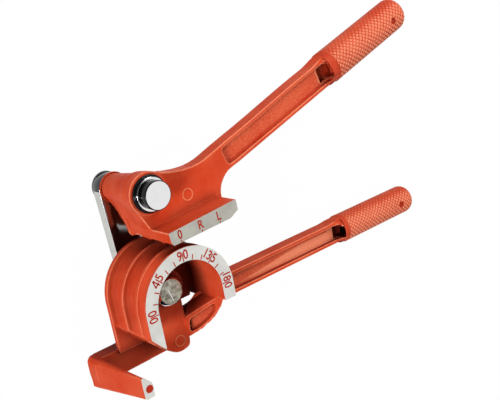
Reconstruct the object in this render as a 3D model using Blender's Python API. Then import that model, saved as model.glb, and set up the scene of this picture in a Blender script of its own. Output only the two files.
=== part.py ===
# Two-handle tube bender for three tube sizes.
# The tool lies on its back with the dial facing up.
# The origin is on the former's axis, at the tail of the former's pin.
# +X runs along the lower handle, +Y points from the former to the dial's 90, and +Z points out of the dial.
import math

import bmesh
import bpy
from mathutils import Matrix, Vector

# Dial and former
DIAL_R = 0.0241         # outer radius of the dial and of every ridge
WALL = 0.0064           # the former's wall, from its bore to the ridges
MARK_RISE = 0.0013      # from the bore to the middle of the dial's short marks
DIAL_Z = 0.0534         # height of the dial's bare face
FORMER_DEPTH = 0.0357   # from the dial's face to the back of the last flange
CASTING_DEPTH = 0.0430  # from the dial's face to the casting's flat back
TUBE_SIZES = (0.006, 0.010, 0.012)
TUBE_STANDS = (0.0012, 0.0005, 0.0008)  # how far the middle of each tube lies outside the ridges
TUBE_ROOM = 0.0002      # added to a tube's radius for its groove
DIAL_LAND = 0.0011      # flat land between the dial and the first groove
RIDGE = 0.0014          # width of the ridge between two grooves
JAW_GAP = 0.0025        # between the ridges and the shoe in the working position
RIGHT_TAIL = 0.0082     # straight length of the wall past 180
LEFT_TAIL = 0.0099      # straight length of the wall past 0, at its outer side
LEFT_SLANT = 0.0072     # how much further the inner side runs past 0

# Web, leg and brace inside the former
WEB_DEPTH = 0.0266
LEG_DEPTH = 0.0209
WEB_BITE = 0.0004       # how far the web runs into the wall
BRACE_TOP_DEPTH = 0.0040
BRACE_LOW_DEPTH = 0.0209
BRACE_THICK = 0.0118
BRACE_FLOOR = 0.0030
LEG_ROUND = 0.0040
RING_MARK_R = 0.0028
RING_MARK_WIDTH = 0.0004
RING_MARK_DEPTH = 0.0004

# Hook
FLANGE_TAIL = 0.0255    # how far the last flange runs past 0, down to the hook
HOOK_ROUND = 0.0042
DIMPLE_R = 0.0019
DIMPLE_DEPTH = 0.0012

# Arms and grips
LOWER_ARM_HEIGHT = 0.0110
UPPER_ARM_HEIGHT = 0.0124
ARM_THICK = 0.0080
ARM_FLANGE = 0.0020
ARM_RECESS = 0.0024
LOWER_ARM_DEPTH = 0.0350
LOWER_ARM_SHARE = -1.0  # where the lower arm lies, beside the marks' radius
LOWER_GRIP_RISE = 0.0006    # from the lower arm's middle to its grip's
UPPER_ARM_DEPTH = 0.0141
LOWER_GRIP_R = 0.0084
UPPER_GRIP_R = 0.0089
LOWER_GRIP_START = 0.1336 # from the pivot to the start of the knurl
UPPER_GRIP_START = 0.1284
LOWER_GRIP_END = 0.1944 # from the pivot to the end of the dome
UPPER_GRIP_END = 0.1908
UPPER_GRIP_RISE = 0.0004
GRIP_DOME = 0.0058
FLARE_LENGTH = 0.0095
FLARE_LIP = 0.0022
GRIP_STEP = 0.0005
LIP_SHARE = 0.8         # how much of the flare's lip stands before the step
FLARE_SHARE = 0.8       # the flare's first radius, as a share of half the arm's height
DOME_STEPS = 6
GRIP_DIMPLE_R = 0.0013
GRIP_DIMPLE_DEPTH = 0.0008
ARM_ROOT_BACK = 0.0018  # from the back plate's end to the start of the lower arm's channel
UPPER_ARM_ROOT = 0.0440
UPPER_ARM_OFFSET = -0.0104
UPPER_ARM_ANGLE = math.radians(15.0)

# Forming handle
PIN_DROP = 0.02215      # from the shoe's face to the upper pin's axis, which the handle's outlines are shares of
ZERO_MARK_X = 0.0021    # the shoe's 0 lies this far along from its pin
HANDLE_OPEN = math.radians(3.0)
SHOE_HEIGHT = 0.0062
SHOE_TIP_RISE = 0.0013  # the shoe is a little higher at its tip than at its heel
SHOE_DEPTH = 0.0336
SHOE_TIP = 0.0355
SHOE_HEEL = -0.0034
SHOE_HEEL_LOW = -0.0020
SHOE_NOSE = 0.0304
SHOE_NOSE_RISE = 0.0023
BOSS_R = 0.0099
BOSS_RAISE = 0.0005
BOSS_LIP = 0.0020
CORE_R = 0.0068

# Link, pins, washers and rings
SHANK_R = 0.0050
FIT = 0.0003            # clearance all round each shank and between stacked faces
LINK_HALF = 0.0076
LINK_THICK = 0.0062
WASHER_R = 0.0082
WASHER_THICK = 0.0006
RING_R = 0.0072
RING_THICK = 0.0012
NECK_CUT = 0.0006       # depth of the groove that holds a ring
HEAD_R = 0.0073
HEAD_CHAMFER = 0.0013
HEAD_DEPTH = 0.0161
CAP_R = 0.0067
CAP_CHAMFER = 0.0003
CAP_DEPTH = 0.0057
COLLAR_R = 0.0087
COLLAR_STEP_R = 0.0078
COLLAR_THICK = 0.0014
COLLAR_STEP = 0.0014
TAIL_CHAMFER = 0.0006

OVERRUN = 0.0006        # how far cutters and joined solids pass a face
SMOOTH_ANGLE = math.radians(32.0)
ROUND_STEPS = 40

LINK_FRONT = CASTING_DEPTH + FIT + WASHER_THICK + FIT
LINK_BACK = LINK_FRONT + LINK_THICK
RING_FRONT = LINK_BACK + FIT
RING_BACK = RING_FRONT + RING_THICK
HOLE_R = SHANK_R + FIT
BORE_R = DIAL_R - WALL
MARK_R = BORE_R + MARK_RISE     # the former's outlines are shares of this
LOWER_ARM_Y = LOWER_ARM_SHARE * MARK_R
LOWER_GRIP_Y = LOWER_ARM_Y + LOWER_GRIP_RISE
WEB_R = BORE_R + WEB_BITE
AXIS_DROP = DIAL_R + JAW_GAP + PIN_DROP     # from the upper pin to the former's axis, square to the shoe
LINK_LENGTH = math.sqrt(AXIS_DROP ** 2 + ZERO_MARK_X ** 2)      # between the two pins' axes
LINK_LEAN = math.asin(ZERO_MARK_X / LINK_LENGTH)

# Outlines, as shares of MARK_R on the former and of PIN_DROP on the forming handle
LEG_SHARES = [(0.38, -0.2), (0.39, -1.69), (-0.02, -1.74), (-0.36, -1.50), (-0.70, -1.18), (-0.95, -0.80),
              (-0.95, -0.2)]
PLATE_SHARES = [(0.50, -0.30), (0.62, -0.60), (0.70, -0.92), (0.95, -1.14), (1.32, -1.10), (1.70, -0.82),
                (2.20, -0.70), (2.20, -1.24), (1.20, -1.34), (0.36, -1.46), (0.34, -1.91), (-1.95, -1.94),
                (-1.95, -1.26), (-0.95, -1.26), (-0.95, -0.20), (0.0, -0.10)]
BRACE_SHARES = [(0.96, -0.42), (0.30, -0.91), (0.30, -1.46), (0.56, -1.28), (0.80, -1.03), (0.96, -0.77),
                (1.10, -0.38)]
ARM_ROOT = max(x for x, y in PLATE_SHARES) * MARK_R - ARM_ROOT_BACK
POCKET_SHARES = [(0.90, -0.57), (0.41, -0.95), (0.40, -1.31), (0.57, -1.20), (0.77, -0.99), (0.91, -0.76)]
BAR_BACK_SHARES = [(-1.95, -1.37), (-1.88, -1.28), (-1.80, -1.26), (-1.73, -1.34), (-1.73, -2.12), (-1.84, -2.16),
                   (-1.95, -2.06)]
BAR_TIP_SHARES = [(-1.75, -1.28), (-1.71, -1.26), (-1.51, -1.45), (-1.48, -1.53), (-1.49, -1.80), (-1.70, -1.81),
                  (-1.75, -1.77)]
DIMPLE_SHARE = (-1.60, -1.59)
LEG_MARK_SHARE = (0.09, -1.43)
HANDLE_MARK_SHARE = (0.901, -0.360)
HANDLE_TOP_SHARES = [(0.245, 0.378), (0.44, 0.290), (0.643, 0.228), (0.90, 0.180), (1.149, 0.158), (1.33, 0.168),
                     (1.493, 0.194)]
HANDLE_LOW_SHARES = [(2.06, -0.234), (1.95, -0.305), (1.868, -0.383), (1.80, -0.468), (1.757, -0.555),
                     (1.733, -0.645), (1.726, -0.738)]
CORE_BITE = 0.0006      # how far the core runs down into the shoe
CORE_BACK_SHARE = -0.386
CORE_RIGHT_SHARE = 0.515


def clear_scene():
    for item in list(bpy.data.objects):
        bpy.data.objects.remove(item, do_unlink=True)


def material(name, colour, metallic, roughness):
    made = bpy.data.materials.new(name)
    made.use_nodes = True
    shader = made.node_tree.nodes["Principled BSDF"]
    shader.inputs["Base Color"].default_value = (*colour, 1.0)
    shader.inputs["Metallic"].default_value = metallic
    shader.inputs["Roughness"].default_value = roughness
    return made


def empty(name, location, turn=0.0, parent=None):
    made = bpy.data.objects.new(name, None)
    bpy.context.collection.objects.link(made)
    made.location = location
    made.rotation_euler = (0.0, 0.0, turn)
    made.parent = parent
    return made


def finish(name, bm, look=None, parent=None):
    bmesh.ops.recalc_face_normals(bm, faces=bm.faces)
    mesh = bpy.data.meshes.new(name)
    bm.to_mesh(mesh)
    bm.free()
    mesh.shade_smooth()
    mesh.set_sharp_from_angle(angle=SMOOTH_ANGLE)
    made = bpy.data.objects.new(name, mesh)
    bpy.context.collection.objects.link(made)
    made.parent = parent
    if look:
        mesh.materials.append(look)
    else:
        made.hide_render = True
        made.display_type = "WIRE"
    return made


def loft(name, rings, look=None, parent=None, twisted=False):
    bm = bmesh.new()
    rows = [[bm.verts.new(point) for point in ring] for ring in rings]
    count = len(rows[0])
    for low, high in zip(rows, rows[1:]):
        for i in range(count):
            j = (i + 1) % count
            bm.faces.new((low[i], low[j], high[j], high[i]))
    bm.faces.new(rows[0])
    bm.faces.new(rows[-1])
    if twisted:
        bmesh.ops.triangulate(bm, faces=bm.faces)
    return finish(name, bm, look, parent)


def prism(name, outline, front, back, look=None, parent=None):
    # An outline in X and Y, between two depths below the dial's face.
    rings = [[(x, y, DIAL_Z - depth) for x, y in outline] for depth in (back, front)]
    return loft(name, rings, look, parent)


def turned(name, profile, centre=(0.0, 0.0), look=None, parent=None, steps=ROUND_STEPS):
    # A closed profile of radius and depth, turned about the vertical line through the centre.
    bm = bmesh.new()
    points = [bm.verts.new((centre[0] + radius, centre[1], DIAL_Z - depth)) for radius, depth in profile]
    edges = [bm.edges.new((a, b)) for a, b in zip(points, points[1:])]
    if profile[0][0] > 0 and profile[-1][0] > 0:
        edges.append(bm.edges.new((points[-1], points[0])))
    bmesh.ops.spin(bm, geom=points + edges, cent=(*centre, 0.0), axis=(0.0, 0.0, 1.0), angle=math.tau,
                   steps=steps, use_merge=True)
    bmesh.ops.remove_doubles(bm, verts=bm.verts, dist=OVERRUN / 100)
    return finish(name, bm, look, parent)


def turned_along(name, profile, start, direction, look=None, parent=None, steps=ROUND_STEPS):
    # A profile of radius and distance, turned about a line that starts at a point.
    bm = bmesh.new()
    points = [bm.verts.new((radius, 0.0, along)) for radius, along in profile]
    edges = [bm.edges.new((a, b)) for a, b in zip(points, points[1:])]
    bmesh.ops.spin(bm, geom=points + edges, cent=(0.0, 0.0, 0.0), axis=(0.0, 0.0, 1.0), angle=math.tau,
                   steps=steps, use_merge=True)
    bmesh.ops.remove_doubles(bm, verts=bm.verts, dist=OVERRUN / 100)
    turn = Vector((0.0, 0.0, 1.0)).rotation_difference(Vector(direction)).to_matrix().to_4x4()
    bmesh.ops.transform(bm, matrix=Matrix.Translation(start) @ turn, verts=bm.verts)
    return finish(name, bm, look, parent)


def disc(radius, front, back):
    return [(0.0, front), (radius, front), (radius, back), (0.0, back)]


def add(target, piece):
    change = target.modifiers.new("join " + piece.name, "BOOLEAN")
    change.operation = "UNION"
    change.solver = "EXACT"
    change.object = piece


def cut(target, piece):
    change = target.modifiers.new("cut " + piece.name, "BOOLEAN")
    change.operation = "DIFFERENCE"
    change.solver = "EXACT"
    change.object = piece


def shares(pairs, unit=MARK_R):
    return [(x * unit, y * unit) for x, y in pairs]


def circle(centre, radius, start, end, steps):
    points = []
    for i in range(steps + 1):
        angle = start + (end - start) * i / steps
        points.append((centre[0] + radius * math.cos(angle), centre[1] + radius * math.sin(angle)))
    return points


def softened(outline, radius, steps=4):
    # Rounds every corner of an outline, by no more than 0.4 of its shorter side.
    made = []
    count = len(outline)
    for i in range(count):
        corner = Vector(outline[i])
        before = Vector(outline[i - 1]) - corner
        after = Vector(outline[(i + 1) % count]) - corner
        reach = min(radius, before.length * 0.4, after.length * 0.4)
        start = corner + before.normalized() * reach
        end = corner + after.normalized() * reach
        for k in range(steps + 1):
            t = k / steps
            point = start * (1 - t) ** 2 + corner * 2 * t * (1 - t) + end * t ** 2
            made.append((point.x, point.y))
    return made


def grooves():
    # The depth at which each groove starts and ends, its radius, and the radius of its tube's middle line.
    spans = []
    depth = DIAL_LAND
    for size, stand in zip(TUBE_SIZES, TUBE_STANDS):
        width = size + 2 * TUBE_ROOM
        spans.append((depth, depth + width, width / 2, DIAL_R + stand))
        depth += width + RIDGE
    return spans


def grooved_edge(face, inward, steps=8):
    # Points of radius and depth down a grooved face. The former's grooves run inward, the shoe's outward.
    points = []
    for start, end, radius, line in grooves():
        middle = (start + end) / 2
        swing = math.acos(abs(line - face) / radius)
        for k in range(steps + 1):
            angle = -swing + 2 * swing * k / steps
            points.append((line - inward * radius * math.cos(angle), middle + radius * math.sin(angle)))
    return points


def former_wall(look):
    # The outer side is grooved, and the same section runs straight past 0 and 180.
    section = [(DIAL_R, 0.0)] + grooved_edge(DIAL_R, 1)
    section += [(DIAL_R, FORMER_DEPTH), (BORE_R, FORMER_DEPTH), (BORE_R, 0.0)]
    rings = [[(r, -RIGHT_TAIL, DIAL_Z - d) for r, d in section]]
    for i in range(ROUND_STEPS + 1):
        angle = math.pi * i / ROUND_STEPS
        rings.append([(r * math.cos(angle), r * math.sin(angle), DIAL_Z - d) for r, d in section])
    slope = LEFT_SLANT / (DIAL_R - BORE_R)
    rings.append([(-r, -LEFT_TAIL - (DIAL_R - r) * slope, DIAL_Z - d) for r, d in section])
    return loft("former_casting", rings, look)


def arm_and_grip(target, label, angle, root, arm_y, height, arm_depth, grip, parent=None):
    # The arm runs along its own line, with a channel on both faces, and swells into a round grip.
    turn = Matrix.Rotation(angle, 4, "Z")

    def put(outline):
        return [tuple((turn @ Vector((x, y, 0.0))).to_2d()) for x, y in outline]

    grip_start, grip_end, grip_y, grip_r = grip
    half = height / 2
    back = arm_depth + ARM_THICK
    middle = arm_depth + ARM_THICK / 2
    bar = put([(root, arm_y - half), (grip_start, arm_y - half), (grip_start, arm_y + half), (root, arm_y + half)])
    add(target, prism(label + " bar", bar, arm_depth, back, parent=parent))
    # The grip is turned from the start of the flare to the end of the dome, with a fine step before the knurl.
    flare_start = grip_start - FLARE_LIP - FLARE_LENGTH
    length = grip_end - flare_start
    step = grip_r - GRIP_STEP
    lip = FLARE_LENGTH + FLARE_LIP * LIP_SHARE
    knurl = FLARE_LENGTH + FLARE_LIP
    profile = [(0.0, 0.0), (half * FLARE_SHARE, 0.0), (grip_r, FLARE_LENGTH), (grip_r, lip), (step, lip),
               (step, knurl), (grip_r, knurl)]
    for k in range(DOME_STEPS):
        rise = math.pi / 2 * k / DOME_STEPS
        profile.append((grip_r * math.cos(rise), length - GRIP_DOME + GRIP_DOME * math.sin(rise)))
    profile.append((0.0, length))
    start = turn @ Vector((flare_start, grip_y, DIAL_Z - middle))
    heading = turn @ Vector((1.0, 0.0, 0.0))
    add(target, turned_along(label + " grip", profile, start, heading, parent=parent))
    inner = half - ARM_FLANGE
    slot_end = grip_start - FLARE_LIP - ARM_FLANGE
    slot = [(root, arm_y - inner), (slot_end, arm_y - inner), (slot_end, arm_y + inner), (root, arm_y + inner)]
    slot = put(softened(slot, ARM_FLANGE))
    reach = grip_r + OVERRUN
    cut(target, prism(label + " front channel", slot, middle - reach, arm_depth + ARM_RECESS, parent=parent))
    cut(target, prism(label + " back channel", slot, back - ARM_RECESS, middle + reach, parent=parent))
    mark = turn @ Vector((grip_end - GRIP_DOME, grip_y, 0.0))
    surface = middle - grip_r
    dimple = disc(GRIP_DIMPLE_R, surface - OVERRUN, surface + GRIP_DIMPLE_DEPTH)
    cut(target, turned(label + " grip dimple", dimple, (mark.x, mark.y), parent=parent, steps=16))


def ring_mark(target, label, centre, face, parent=None):
    inner = RING_MARK_R - RING_MARK_WIDTH
    cut(target, turned(label, [(inner, face - OVERRUN), (RING_MARK_R, face - OVERRUN),
                               (RING_MARK_R, face + RING_MARK_DEPTH), (inner, face + RING_MARK_DEPTH)],
                       centre, parent=parent, steps=24))


def former_casting(look):
    body = former_wall(look)
    web = circle((0.0, 0.0), WEB_R, math.radians(-28.0), math.radians(208.0), ROUND_STEPS)
    add(body, prism("web", web, WEB_DEPTH, FORMER_DEPTH - OVERRUN))
    leg = softened(shares(LEG_SHARES), LEG_ROUND)
    add(body, prism("leg", leg, LEG_DEPTH, FORMER_DEPTH - OVERRUN))
    add(body, turned("pin boss", disc(BOSS_R, LEG_DEPTH, CASTING_DEPTH)))
    plate = softened(shares(PLATE_SHARES), HOOK_ROUND)
    flange_front = grooves()[-1][1]
    add(body, prism("back plate", plate, LOWER_ARM_DEPTH, CASTING_DEPTH))
    tail = [(0.0, -RIGHT_TAIL), (-DIAL_R, -RIGHT_TAIL), (-DIAL_R, -FLANGE_TAIL), (0.0, -FLANGE_TAIL)]
    add(body, prism("flange tail", tail, flange_front, FORMER_DEPTH))
    # The brace slopes back from the dial's right end to the leg.
    outline = softened(shares(BRACE_SHARES), LEG_ROUND / 2)
    low = min(x for x, y in outline)
    high = max(x for x, y in outline)

    def slope(x):
        return BRACE_LOW_DEPTH + (BRACE_TOP_DEPTH - BRACE_LOW_DEPTH) * (x - low) / (high - low)

    add(body, loft("brace", [[(x, y, DIAL_Z - slope(x) - BRACE_THICK) for x, y in outline],
                             [(x, y, DIAL_Z - slope(x)) for x, y in outline]]))
    pocket = softened(shares(POCKET_SHARES), LEG_ROUND / 2)
    cut(body, loft("brace pocket", [[(x, y, DIAL_Z - slope(x) - BRACE_FLOOR) for x, y in pocket],
                                    [(x, y, DIAL_Z - slope(x) + BRACE_FLOOR) for x, y in pocket]]))
    back = [(x, y, DIAL_Z - CASTING_DEPTH + OVERRUN) for x, y in shares(BAR_BACK_SHARES)]
    tip = [(x, y, DIAL_Z) for x, y in shares(BAR_TIP_SHARES)]
    add(body, loft("hook bar", [back, tip], twisted=True))
    grip = (LOWER_GRIP_START, LOWER_GRIP_END, LOWER_GRIP_Y, LOWER_GRIP_R)
    arm_and_grip(body, "lower arm", 0.0, ARM_ROOT, LOWER_ARM_Y, LOWER_ARM_HEIGHT, LOWER_ARM_DEPTH, grip)
    cut(body, turned("former pin hole", disc(HOLE_R, LEG_DEPTH - OVERRUN, CASTING_DEPTH + OVERRUN)))
    dimple = (DIMPLE_SHARE[0] * MARK_R, DIMPLE_SHARE[1] * MARK_R)
    cut(body, turned("hook dimple", disc(DIMPLE_R, -OVERRUN, DIMPLE_DEPTH), dimple, steps=20))
    ring_mark(body, "leg ring mark", shares([LEG_MARK_SHARE])[0], LEG_DEPTH)
    return body


def forming_handle(look, parent):
    # Modelled about its own pin, with the shoe along X.
    face = -PIN_DROP
    top = face + SHOE_HEIGHT
    section = [(face, 0.0)]
    section += [(radius - AXIS_DROP, depth) for radius, depth in grooved_edge(DIAL_R + JAW_GAP, -1)]
    section += [(face, SHOE_DEPTH), (top, SHOE_DEPTH), (top, 0.0)]
    rings = []
    for low_x, high_x, raised in ((SHOE_HEEL_LOW, SHOE_HEEL, 0.0), (SHOE_TIP, SHOE_TIP, SHOE_TIP_RISE)):
        ring = []
        for y, d in section:
            share = (y - face) / (top - face)
            lift = raised if y == top else 0.0
            ring.append((low_x + (high_x - low_x) * share, y + lift, DIAL_Z - d))
        rings.append(ring)
    body = loft("forming_casting", rings, look, parent)
    rise = SHOE_NOSE_RISE * (1 + OVERRUN / (SHOE_TIP - SHOE_NOSE))
    nose = [(SHOE_NOSE, face), (SHOE_NOSE, face - OVERRUN), (SHOE_TIP + OVERRUN, face - OVERRUN),
            (SHOE_TIP + OVERRUN, face + rise)]
    cut(body, prism("shoe nose", nose, -OVERRUN, SHOE_DEPTH + OVERRUN, parent=parent))
    # The web runs from the boss down to the shoe and out to the arm, whose lines it meets.
    turn = Matrix.Rotation(UPPER_ARM_ANGLE, 2)
    half = UPPER_ARM_HEIGHT / 2
    arm_top = turn @ Vector((UPPER_ARM_ROOT + ARM_FLANGE, UPPER_ARM_OFFSET + half))
    arm_low = turn @ Vector((UPPER_ARM_ROOT + ARM_FLANGE, UPPER_ARM_OFFSET - half))
    low_side = list(reversed(shares(HANDLE_LOW_SHARES, PIN_DROP)))
    web = circle((0.0, 0.0), BOSS_R - FIT, math.radians(62.0), math.radians(190.0), 16)
    web += [(SHOE_HEEL, top - OVERRUN), (low_side[0][0], top - OVERRUN)] + low_side
    web += [tuple(arm_low), tuple(arm_top)] + list(reversed(shares(HANDLE_TOP_SHARES, PIN_DROP)))
    add(body, prism("handle web", web, UPPER_ARM_DEPTH, UPPER_ARM_DEPTH + ARM_THICK, parent=parent))
    add(body, turned("handle boss", disc(BOSS_R, UPPER_ARM_DEPTH - BOSS_RAISE, UPPER_ARM_DEPTH + BOSS_LIP),
                     parent=parent))
    # The core narrows towards the link, as a casting's draft does, and its back slants down to the shoe's face.
    rings = []
    front = UPPER_ARM_DEPTH + OVERRUN
    low = top - CORE_BITE
    lip = SHOE_DEPTH - OVERRUN
    for depth, toe in ((CASTING_DEPTH, CORE_BACK_SHARE * PIN_DROP), (lip, face + OVERRUN), (lip - FIT, low),
                       (front, low)):
        radius = CORE_R + (BOSS_R - OVERRUN - CORE_R) * (CASTING_DEPTH - depth) / (CASTING_DEPTH - front)
        core = circle((0.0, 0.0), radius, math.radians(-12.0), math.radians(192.0), 24)
        core += [(SHOE_HEEL + FIT, toe), (CORE_RIGHT_SHARE * PIN_DROP, toe)]
        rings.append([(x, y, DIAL_Z - depth) for x, y in core])
    add(body, loft("handle core", rings, parent=parent, twisted=True))
    grip = (UPPER_GRIP_START, UPPER_GRIP_END, UPPER_ARM_OFFSET + UPPER_GRIP_RISE, UPPER_GRIP_R)
    arm_and_grip(body, "upper arm", UPPER_ARM_ANGLE, UPPER_ARM_ROOT, UPPER_ARM_OFFSET, UPPER_ARM_HEIGHT,
                 UPPER_ARM_DEPTH, grip, parent)
    hole = disc(HOLE_R, UPPER_ARM_DEPTH - BOSS_RAISE - OVERRUN, CASTING_DEPTH + OVERRUN)
    cut(body, turned("upper pin hole", hole, parent=parent))
    ring_mark(body, "handle ring mark", shares([HANDLE_MARK_SHARE], PIN_DROP)[0], UPPER_ARM_DEPTH, parent)
    return body


def link_bar(look, parent):
    outline = circle((0.0, 0.0), LINK_HALF, math.pi, math.tau, 20)
    outline += circle((0.0, LINK_LENGTH), LINK_HALF, 0.0, math.pi, 20)
    body = prism("link", outline, LINK_FRONT, LINK_BACK, look, parent)
    for label, y in (("lower link hole", 0.0), ("upper link hole", LINK_LENGTH)):
        cut(body, turned(label, disc(HOLE_R, LINK_FRONT - OVERRUN, LINK_BACK + OVERRUN), (0.0, y), parent=parent))
    return body


def pin_tail():
    # The lower end of both pins, with the groove that holds a ring.
    neck = SHANK_R - NECK_CUT
    return [(SHANK_R, RING_FRONT - FIT / 2), (neck, RING_FRONT - FIT / 2), (neck, RING_BACK + FIT / 2),
            (SHANK_R, RING_BACK + FIT / 2), (SHANK_R, DIAL_Z - TAIL_CHAMFER), (SHANK_R - TAIL_CHAMFER, DIAL_Z),
            (0.0, DIAL_Z)]


def former_pin(look):
    seat = LEG_DEPTH - FIT
    profile = [(0.0, HEAD_DEPTH), (HEAD_R - HEAD_CHAMFER, HEAD_DEPTH), (HEAD_R, HEAD_DEPTH + HEAD_CHAMFER),
               (HEAD_R, seat), (SHANK_R, seat)] + pin_tail()
    return turned("former_pin", profile, look=look)


def upper_pin(look, parent):
    seat = UPPER_ARM_DEPTH - BOSS_RAISE - FIT - COLLAR_THICK - COLLAR_STEP - FIT
    profile = [(0.0, CAP_DEPTH), (CAP_R - CAP_CHAMFER, CAP_DEPTH), (CAP_R, CAP_DEPTH + CAP_CHAMFER), (CAP_R, seat),
               (SHANK_R, seat)] + pin_tail()
    return turned("upper_pin", profile, (0.0, LINK_LENGTH), look, parent)


def collar(look, parent):
    base = UPPER_ARM_DEPTH - BOSS_RAISE - FIT
    middle = base - COLLAR_THICK
    profile = [(HOLE_R, middle - COLLAR_STEP), (COLLAR_STEP_R, middle - COLLAR_STEP), (COLLAR_STEP_R, middle),
               (COLLAR_R, middle), (COLLAR_R, base), (HOLE_R, base)]
    return turned("upper_collar", profile, (0.0, LINK_LENGTH), look, parent)


def washer(name, centre, look, parent):
    front = CASTING_DEPTH + FIT
    profile = [(HOLE_R, front), (WASHER_R, front), (WASHER_R, front + WASHER_THICK), (HOLE_R, front + WASHER_THICK)]
    return turned(name, profile, centre, look, parent)


def ring(name, centre, look, parent):
    inner = SHANK_R - NECK_CUT + FIT
    profile = [(inner, RING_FRONT), (RING_R, RING_FRONT), (RING_R, RING_BACK), (inner, RING_BACK)]
    return turned(name, profile, centre, look, parent)


def main():
    clear_scene()
    paint = material("former_paint", (0.62, 0.075, 0.02), 0.0, 0.42)
    handle_paint = material("forming_paint", (0.62, 0.075, 0.02), 0.0, 0.42)
    link_frame = empty("link_axis", (0.0, 0.0, 0.0), LINK_LEAN)
    handle_frame = empty("handle_axis", (0.0, LINK_LENGTH, 0.0), HANDLE_OPEN - LINK_LEAN, link_frame)
    former_casting(paint)
    forming_handle(handle_paint, handle_frame)
    link_bar(material("link_steel", (0.55, 0.55, 0.54), 1.0, 0.3), link_frame)
    former_pin(material("former_pin_steel", (0.5, 0.48, 0.42), 1.0, 0.38))
    upper_pin(material("upper_pin_chrome", (0.75, 0.75, 0.76), 1.0, 0.08), link_frame)
    collar(material("collar_chrome", (0.6, 0.6, 0.61), 1.0, 0.12), link_frame)
    washer("former_washer", (0.0, 0.0), material("former_washer_steel", (0.5, 0.5, 0.5), 1.0, 0.35), link_frame)
    steel = material("upper_washer_steel", (0.5, 0.5, 0.5), 1.0, 0.35)
    washer("upper_washer", (0.0, LINK_LENGTH), steel, link_frame)
    ring("former_ring", (0.0, 0.0), material("former_ring_steel", (0.2, 0.2, 0.2), 1.0, 0.4), None)
    ring("upper_ring", (0.0, LINK_LENGTH), material("upper_ring_steel", (0.2, 0.2, 0.2), 1.0, 0.4), link_frame)
    bpy.context.view_layer.update()


main()
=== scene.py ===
# A hand pipe bender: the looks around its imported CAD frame.
import math

import bmesh
import bpy
from mathutils import Matrix, Vector


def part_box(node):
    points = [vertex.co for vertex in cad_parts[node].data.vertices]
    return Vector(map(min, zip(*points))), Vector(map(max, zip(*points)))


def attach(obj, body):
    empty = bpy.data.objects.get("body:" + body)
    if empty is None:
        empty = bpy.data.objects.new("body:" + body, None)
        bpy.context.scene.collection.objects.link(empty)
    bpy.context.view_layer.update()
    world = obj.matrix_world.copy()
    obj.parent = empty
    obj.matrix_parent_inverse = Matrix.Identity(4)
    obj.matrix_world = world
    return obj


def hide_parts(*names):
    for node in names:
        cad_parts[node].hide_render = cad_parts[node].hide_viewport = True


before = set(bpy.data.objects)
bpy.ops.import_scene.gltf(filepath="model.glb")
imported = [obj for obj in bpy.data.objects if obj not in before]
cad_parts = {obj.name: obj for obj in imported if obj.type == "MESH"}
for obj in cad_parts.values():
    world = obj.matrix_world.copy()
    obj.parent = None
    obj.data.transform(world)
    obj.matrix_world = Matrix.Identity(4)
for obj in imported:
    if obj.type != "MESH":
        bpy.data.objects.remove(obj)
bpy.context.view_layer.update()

mm = 0.001
mergeGap = 0.002 * mm
fineGap = 0.001 * mm
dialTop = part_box("former_casting")[1].z

# Where the upper handle lies: its pin, and the turn of its shoe
upperPinPlace = Vector((-0.0021, 0.04875, 0.0))
handleTurn = Matrix.Translation(upperPinPlace) @ Matrix.Rotation(math.radians(3.0), 4, "Z")
armTurn = handleTurn @ Matrix.Rotation(math.radians(15.0), 4, "Z")


def newMaterial(name):
    made = bpy.data.materials.new(name)
    made.use_nodes = True
    return made, made.node_tree.nodes, made.node_tree.links


def newGroup(name, inputs, outputs):
    tree = bpy.data.node_groups.new(name, "ShaderNodeTree")
    for label, kind, value in inputs:
        socket = tree.interface.new_socket(name=label, in_out="INPUT", socket_type=kind)
        socket.default_value = value
    for label, kind in outputs:
        tree.interface.new_socket(name=label, in_out="OUTPUT", socket_type=kind)
    return tree, tree.nodes.new("NodeGroupInput"), tree.nodes.new("NodeGroupOutput")


def noiseNode(nodes, scale, detail=4.0, roughness=0.55):
    made = nodes.new("ShaderNodeTexNoise")
    made.inputs["Scale"].default_value = scale
    made.inputs["Detail"].default_value = detail
    made.inputs["Roughness"].default_value = roughness
    return made


def mathNode(nodes, operation, *values):
    made = nodes.new("ShaderNodeMath")
    made.operation = operation
    for socket, value in zip(made.inputs, values):
        socket.default_value = value
    return made


def rangeNode(nodes, low, high, outLow=0.0, outHigh=1.0):
    made = nodes.new("ShaderNodeMapRange")
    for label, value in (("From Min", low), ("From Max", high), ("To Min", outLow), ("To Max", outHigh)):
        made.inputs[label].default_value = value
    return made


def mixColour(nodes, first, second):
    made = nodes.new("ShaderNodeMix")
    made.data_type = "RGBA"
    made.inputs["A"].default_value = (*first, 1.0)
    made.inputs["B"].default_value = (*second, 1.0)
    return made


# Patchy variation that every finish uses: a slow mask and a fine one
def makePatches():
    tree, start, end = newGroup("patches", [("Slow Scale", "NodeSocketFloat", 60.0),
                                            ("Fine Scale", "NodeSocketFloat", 900.0)],
                                [("Slow", "NodeSocketFloat"), ("Fine", "NodeSocketFloat")])
    place = tree.nodes.new("ShaderNodeTexCoord")
    for label, low, high in (("Slow", 0.35, 0.65), ("Fine", 0.3, 0.7)):
        grain = noiseNode(tree.nodes, 1.0, 3.0)
        spread = rangeNode(tree.nodes, low, high)
        tree.links.new(place.outputs["Object"], grain.inputs["Vector"])
        tree.links.new(start.outputs[label + " Scale"], grain.inputs["Scale"])
        tree.links.new(grain.outputs["Fac"], spread.inputs["Value"])
        tree.links.new(spread.outputs["Result"], end.inputs[label])
    return tree


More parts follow.
